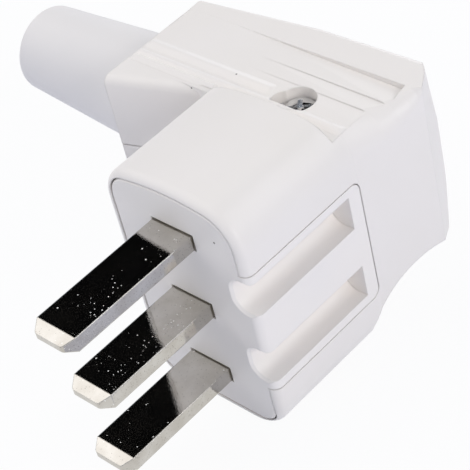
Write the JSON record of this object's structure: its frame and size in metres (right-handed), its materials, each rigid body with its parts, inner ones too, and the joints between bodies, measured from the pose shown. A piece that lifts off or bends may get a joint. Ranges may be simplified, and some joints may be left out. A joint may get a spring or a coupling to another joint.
{
  "type": "cooker plug",
  "caption": "Angled high-current plug with flat stacked pins, a grooved insert, a ribbed housing with a finger scoop and a conical side cable sleeve.",
  "frame": {"origin": "centre of the front engagement face, on the axis of the middle pin", "axes": "-Y along the pins out of the face, +Z towards the earth pin and the cover screw, +X towards the side with the guide grooves, -X along the cable sleeve"},
  "size_m": [0.0905, 0.0816, 0.0521],
  "materials": {
    "housing": "smooth white moulding",
    "insert": "smooth white moulding",
    "sleeve": "soft satin moulding",
    "plating": "bright nickel plating",
    "carrier": "satin moulding",
    "brass": "machined",
    "steel": "zinc plated"
  },
  "bodies": {
    "root": {"cover": "housing", "contact_insert": "insert", "outlet_cover": "housing", "cable_sleeve": "sleeve", "terminal_carrier": "carrier", "pin_earth": "plating", "pin_neutral": "plating", "pin_live": "plating", "terminal_earth": "brass", "terminal_neutral": "brass", "terminal_live": "brass", "terminal_screw_earth": "steel", "terminal_screw_neutral": "steel", "terminal_screw_live": "steel", "carrier_screw_upper": "steel", "carrier_screw_lower": "steel", "cover_screw": "steel", "cover_screw_nut": "steel", "clamp_bridge": "carrier", "clamp_screw": "steel", "outlet_cover_screw": "steel"}
  },
  "joints": []
}
